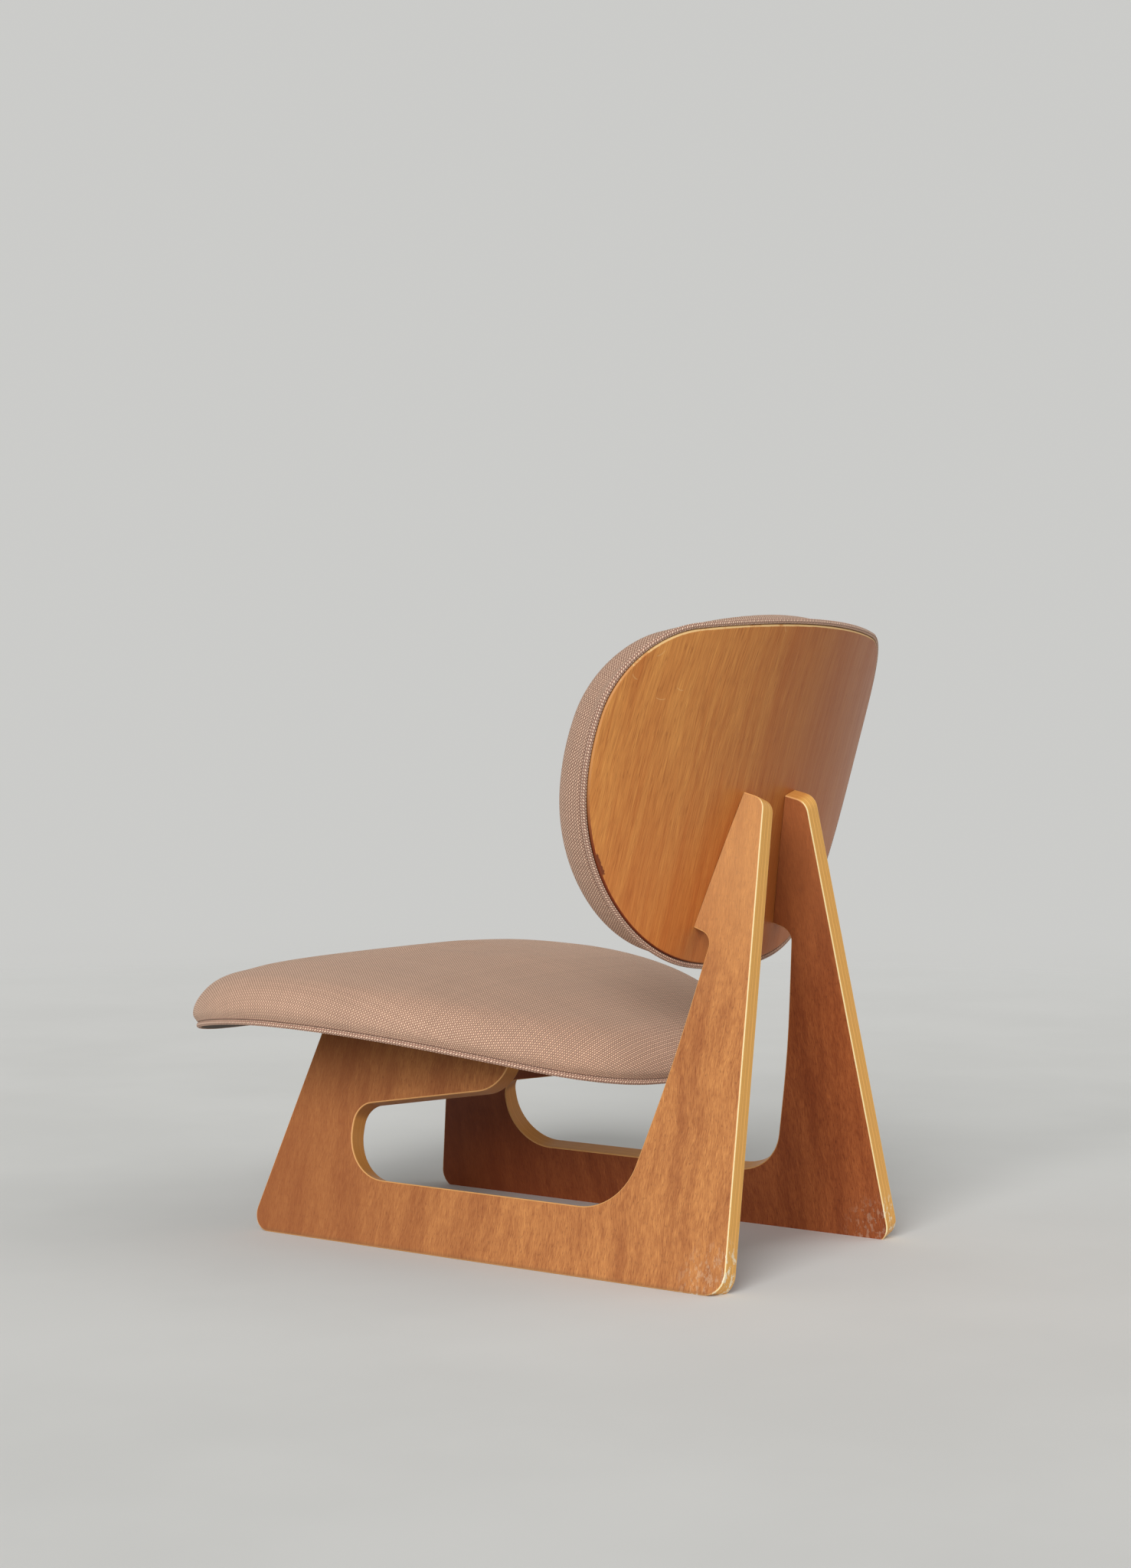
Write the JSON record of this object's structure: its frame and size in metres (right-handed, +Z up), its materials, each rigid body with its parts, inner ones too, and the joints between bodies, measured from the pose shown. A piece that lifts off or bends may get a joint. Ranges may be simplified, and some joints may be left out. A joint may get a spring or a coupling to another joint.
{
  "type": "low chair",
  "caption": "Low chair with two leaning plywood side panels, a wide padded seat and a padded, moulded backrest with a bare veneered rear.",
  "frame": {"origin": "on the floor under the middle of the overall box", "axes": "+Z up; the sitter looks along -Y; +X is to the sitter's left"},
  "size_m": [0.55, 0.6908, 0.6457],
  "materials": {
    "panel_ply": "lacquered veneered plywood, pale laminated edges",
    "shell_ply": "lacquered moulded plywood veneer",
    "board_ply": "raw moulded plywood",
    "cover_cloth": "coarse plain weave",
    "piping_cloth": "corded piping in the cover's cloth",
    "foam": "soft upholstery foam",
    "dust_cloth": "thin dark lining cloth",
    "screw_steel": "zinc plated",
    "insert_brass": "plain turned",
    "clip_plastic": "moulded"
  },
  "bodies": {
    "root": {"back_board": "board_ply", "back_clip_1": "clip_plastic", "back_clip_2": "clip_plastic", "back_clip_3": "clip_plastic", "back_clip_4": "clip_plastic", "back_clip_5": "clip_plastic", "back_clip_6": "clip_plastic", "back_cover": "cover_cloth", "back_foam": "foam", "back_insert_left_1": "insert_brass", "back_insert_left_2": "insert_brass", "back_insert_right_1": "insert_brass", "back_insert_right_2": "insert_brass", "back_piping": "piping_cloth", "back_screw_left_1": "screw_steel", "back_screw_left_2": "screw_steel", "back_screw_right_1": "screw_steel", "back_screw_right_2": "screw_steel", "back_shell": "shell_ply", "seat_board": "board_ply", "seat_cover": "cover_cloth", "seat_dust_cover": "dust_cloth", "seat_foam": "foam", "seat_insert_left_1": "insert_brass", "seat_insert_left_2": "insert_brass", "seat_insert_right_1": "insert_brass", "seat_insert_right_2": "insert_brass", "seat_piping": "piping_cloth", "seat_screw_left_1": "screw_steel", "seat_screw_left_2": "screw_steel", "seat_screw_right_1": "screw_steel", "seat_screw_right_2": "screw_steel", "side_panel_left": "panel_ply", "side_panel_right": "panel_ply"}
  },
  "joints": []
}
